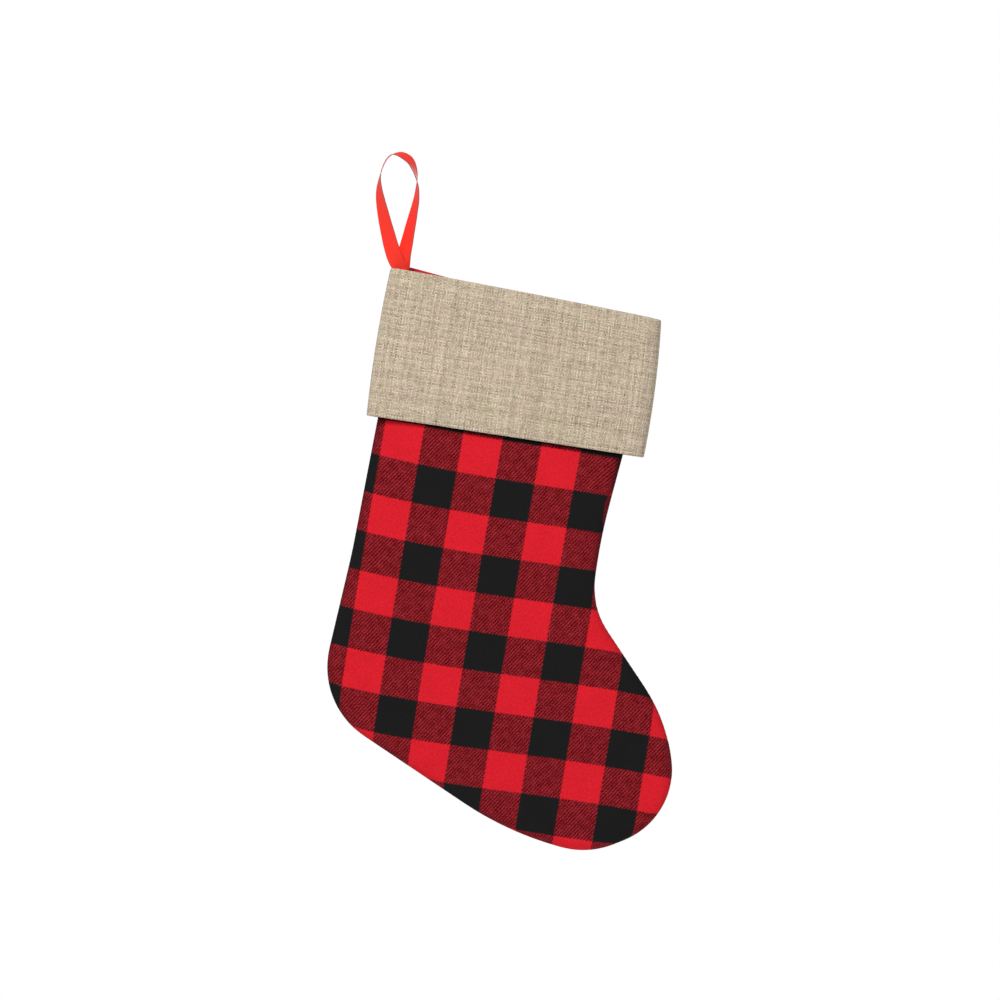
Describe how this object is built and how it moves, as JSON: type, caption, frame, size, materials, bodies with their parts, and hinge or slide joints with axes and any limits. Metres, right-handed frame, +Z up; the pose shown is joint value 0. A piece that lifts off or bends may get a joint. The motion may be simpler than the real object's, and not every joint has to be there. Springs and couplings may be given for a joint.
{
  "type": "hanging stocking",
  "caption": "Plaid flannel hanging stocking with a red lining, an open mouth, a folded linen cuff and a red ribbon loop at the heel-side corner.",
  "frame": {"origin": "where a hook touches the inside of the ribbon loop's top", "axes": "+Z up as it hangs, +X towards the toe, -Y towards the viewer, so the shortest side lies along Y"},
  "size_m": [0.2761, 0.024, 0.5576],
  "materials": {
    "plaid_flannel": "brushed twill in red and black checks",
    "red_lining": "smooth plain weave",
    "natural_linen": "coarse plain weave with slubs",
    "red_ribbon": "satin",
    "red_thread": "spun thread",
    "linen_thread": "spun thread"
  },
  "bodies": {
    "loop_top": {"loop_bight": "red_ribbon"},
    "loop_legs": {"loop_leg_heel_side": "red_ribbon", "loop_leg_toe_side": "red_ribbon"},
    "stocking": {"shell_front_panel": "plaid_flannel", "shell_back_panel": "plaid_flannel", "shell_seam_thread": "red_thread", "lining_front_panel": "red_lining", "lining_back_panel": "red_lining", "lining_seam_thread": "red_thread", "cuff_front_panel": "natural_linen", "cuff_back_panel": "natural_linen", "cuff_heel_seam_thread": "linen_thread", "cuff_toe_seam_thread": "linen_thread", "rim_seam_thread": "red_thread", "loop_tails": "red_ribbon", "loop_bartack": "red_thread"}
  },
  "joints": [
    {"name": "loop_turn", "type": "hinge", "parent": "loop_top", "child": "loop_legs", "pos_m": [0, 0, -0.022], "axis": [0, 0, 1], "range_deg": [-90, 90]},
    {"name": "loop_swing", "type": "hinge", "parent": "loop_legs", "child": "stocking", "pos_m": [0.00254, 0, -0.09108], "axis": [0.9873, 0, -0.159], "range_deg": [-90, 90]}
  ]
}
